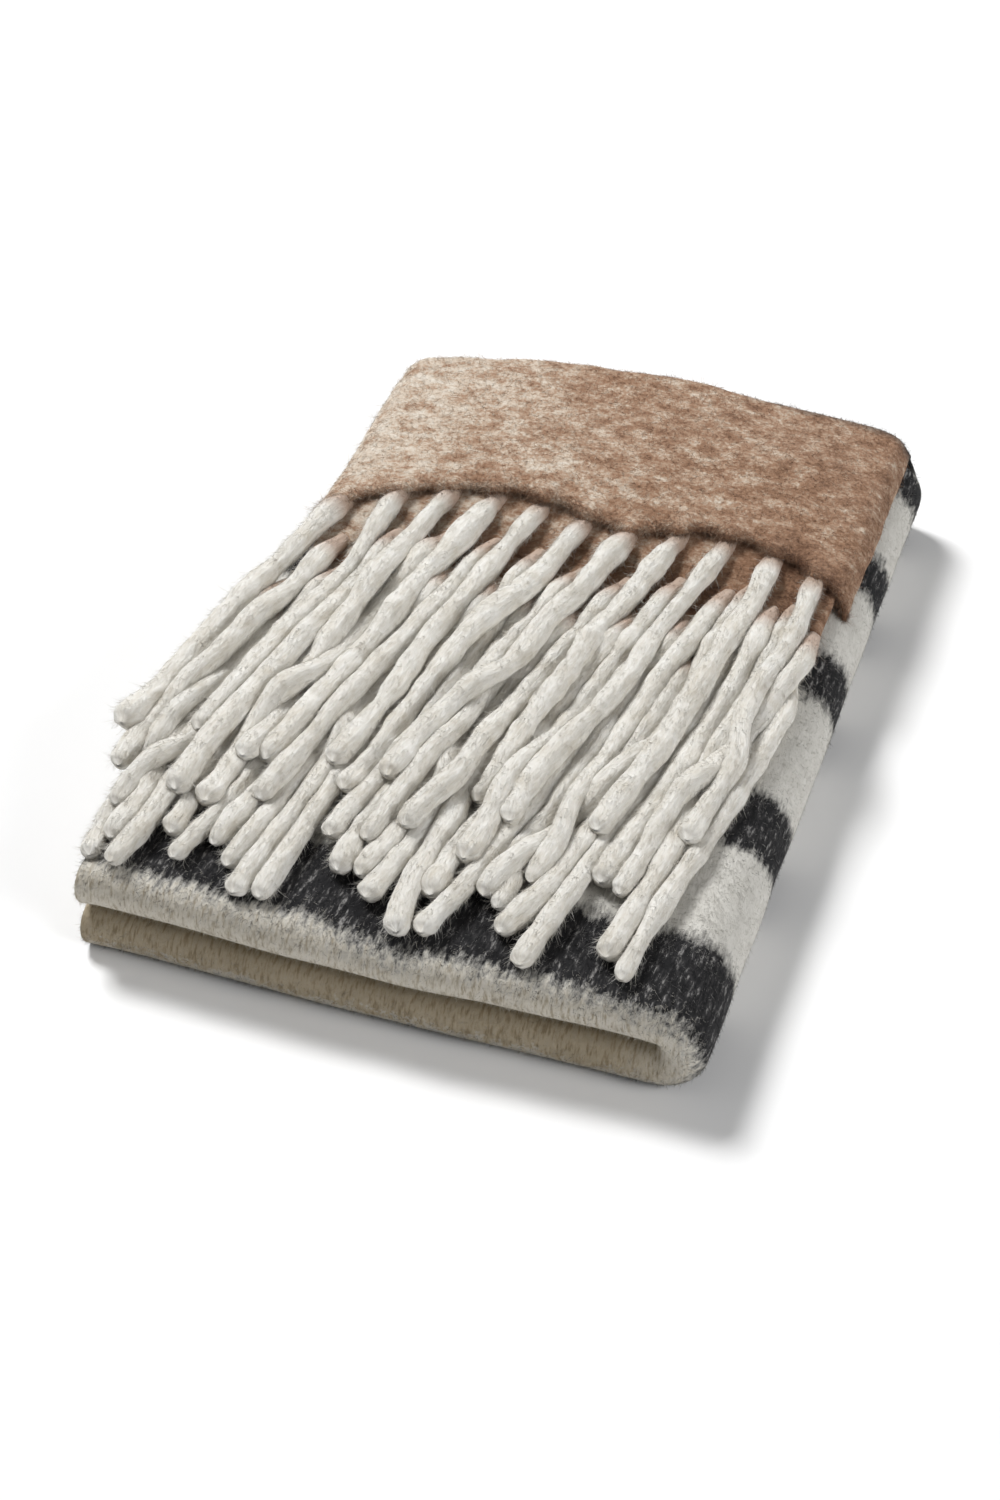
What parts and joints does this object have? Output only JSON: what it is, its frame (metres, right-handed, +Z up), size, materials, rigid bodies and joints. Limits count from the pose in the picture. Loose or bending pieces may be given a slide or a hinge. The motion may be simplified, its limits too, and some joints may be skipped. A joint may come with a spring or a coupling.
{
  "type": "folded throw blanket",
  "caption": "Brushed woven throw with a tasselled fringe, folded into a flat stack with its fringed end turned over the top.",
  "frame": {"origin": "middle of the face that the folded stack rests on", "axes": "+X towards the closed side fold, +Y from the front folds to the back, +Z up"},
  "size_m": [0.3543, 0.5, 0.0811],
  "materials": {
    "brown_cloth": "brushed melange wool",
    "banded_cloth": "brushed wool with charcoal bands",
    "greige_cloth": "brushed wool",
    "cream_yarn": "soft spun roving"
  },
  "bodies": {
    "root": {"upper_outer_panel": "banded_cloth", "side_fold_outer_panel": "banded_cloth", "lower_outer_panel": "banded_cloth", "upper_inner_panel": "greige_cloth", "side_fold_inner_panel": "greige_cloth", "lower_inner_panel": "greige_cloth", "upper_end_panel": "greige_cloth", "side_fold_end_panel": "greige_cloth", "lower_end_panel": "greige_cloth", "back_wrap": "banded_cloth", "upper_hidden_fringe": "cream_yarn", "lower_hidden_fringe": "cream_yarn"},
    "flap": {"flap_ply_1": "brown_cloth", "flap_ply_2": "brown_cloth", "flap_ply_3": "brown_cloth", "flap_ply_4": "brown_cloth", "tassel_row2_01": "cream_yarn", "tassel_row2_02": "cream_yarn", "tassel_row2_03": "cream_yarn", "tassel_row2_04": "cream_yarn", "tassel_row2_05": "cream_yarn", "tassel_row2_06": "cream_yarn", "tassel_row2_07": "cream_yarn", "tassel_row2_08": "cream_yarn", "tassel_row2_09": "cream_yarn", "tassel_row2_10": "cream_yarn", "tassel_row2_11": "cream_yarn", "tassel_row3_01": "cream_yarn", "tassel_row3_02": "cream_yarn", "tassel_row3_03": "cream_yarn", "tassel_row3_04": "cream_yarn", "tassel_row3_05": "cream_yarn", "tassel_row3_06": "cream_yarn", "tassel_row3_07": "cream_yarn", "tassel_row3_08": "cream_yarn", "tassel_row3_09": "cream_yarn", "tassel_row3_10": "cream_yarn", "tassel_row3_11": "cream_yarn", "tassel_row4_01": "cream_yarn", "tassel_row4_02": "cream_yarn", "tassel_row4_03": "cream_yarn", "tassel_row4_04": "cream_yarn", "tassel_row4_05": "cream_yarn", "tassel_row4_06": "cream_yarn", "tassel_row4_07": "cream_yarn", "tassel_row4_08": "cream_yarn", "tassel_row4_09": "cream_yarn", "tassel_row4_10": "cream_yarn", "tassel_row4_11": "cream_yarn"},
    "top_tassel_01": {"tassel_row1_01": "cream_yarn"},
    "top_tassel_02": {"tassel_row1_02": "cream_yarn"},
    "top_tassel_03": {"tassel_row1_03": "cream_yarn"},
    "top_tassel_04": {"tassel_row1_04": "cream_yarn"},
    "top_tassel_05": {"tassel_row1_05": "cream_yarn"},
    "top_tassel_06": {"tassel_row1_06": "cream_yarn"},
    "top_tassel_07": {"tassel_row1_07": "cream_yarn"},
    "top_tassel_08": {"tassel_row1_08": "cream_yarn"},
    "top_tassel_09": {"tassel_row1_09": "cream_yarn"},
    "top_tassel_10": {"tassel_row1_10": "cream_yarn"},
    "top_tassel_11": {"tassel_row1_11": "cream_yarn"}
  },
  "joints": [
    {"name": "flap_turn", "type": "hinge", "parent": "root", "child": "flap", "pos_m": [0, 0.2503, 0.05155], "axis": [-1, 0, 0], "range_deg": [0, 180]},
    {"name": "top_tassel_01_lift", "type": "hinge", "parent": "flap", "child": "top_tassel_01", "pos_m": [-0.14549, 0.07504, 0.0649], "axis": [-1, 0, 0], "range_deg": [0, 70]},
    {"name": "top_tassel_02_lift", "type": "hinge", "parent": "flap", "child": "top_tassel_02", "pos_m": [-0.11672, 0.09448, 0.0649], "axis": [-1, 0, 0], "range_deg": [0, 70]},
    {"name": "top_tassel_03_lift", "type": "hinge", "parent": "flap", "child": "top_tassel_03", "pos_m": [-0.08864, 0.10382, 0.0649], "axis": [-1, 0, 0], "range_deg": [0, 70]},
    {"name": "top_tassel_04_lift", "type": "hinge", "parent": "flap", "child": "top_tassel_04", "pos_m": [-0.06093, 0.10752, 0.0649], "axis": [-1, 0, 0], "range_deg": [0, 70]},
    {"name": "top_tassel_05_lift", "type": "hinge", "parent": "flap", "child": "top_tassel_05", "pos_m": [-0.0335, 0.10723, 0.0649], "axis": [-1, 0, 0], "range_deg": [0, 70]},
    {"name": "top_tassel_06_lift", "type": "hinge", "parent": "flap", "child": "top_tassel_06", "pos_m": [-0.00654, 0.0998, 0.0649], "axis": [-1, 0, 0], "range_deg": [0, 70]},
    {"name": "top_tassel_07_lift", "type": "hinge", "parent": "flap", "child": "top_tassel_07", "pos_m": [0.02057, 0.0947, 0.0649], "axis": [-1, 0, 0], "range_deg": [0, 70]},
    {"name": "top_tassel_08_lift", "type": "hinge", "parent": "flap", "child": "top_tassel_08", "pos_m": [0.04849, 0.10171, 0.0649], "axis": [-1, 0, 0], "range_deg": [0, 70]},
    {"name": "top_tassel_09_lift", "type": "hinge", "parent": "flap", "child": "top_tassel_09", "pos_m": [0.07621, 0.10561, 0.0649], "axis": [-1, 0, 0], "range_deg": [0, 70]},
    {"name": "top_tassel_10_lift", "type": "hinge", "parent": "flap", "child": "top_tassel_10", "pos_m": [0.10328, 0.09986, 0.0649], "axis": [-1, 0, 0], "range_deg": [0, 70]},
    {"name": "top_tassel_11_lift", "type": "hinge", "parent": "flap", "child": "top_tassel_11", "pos_m": [0.12988, 0.08711, 0.0649], "axis": [-1, 0, 0], "range_deg": [0, 70]}
  ]
}
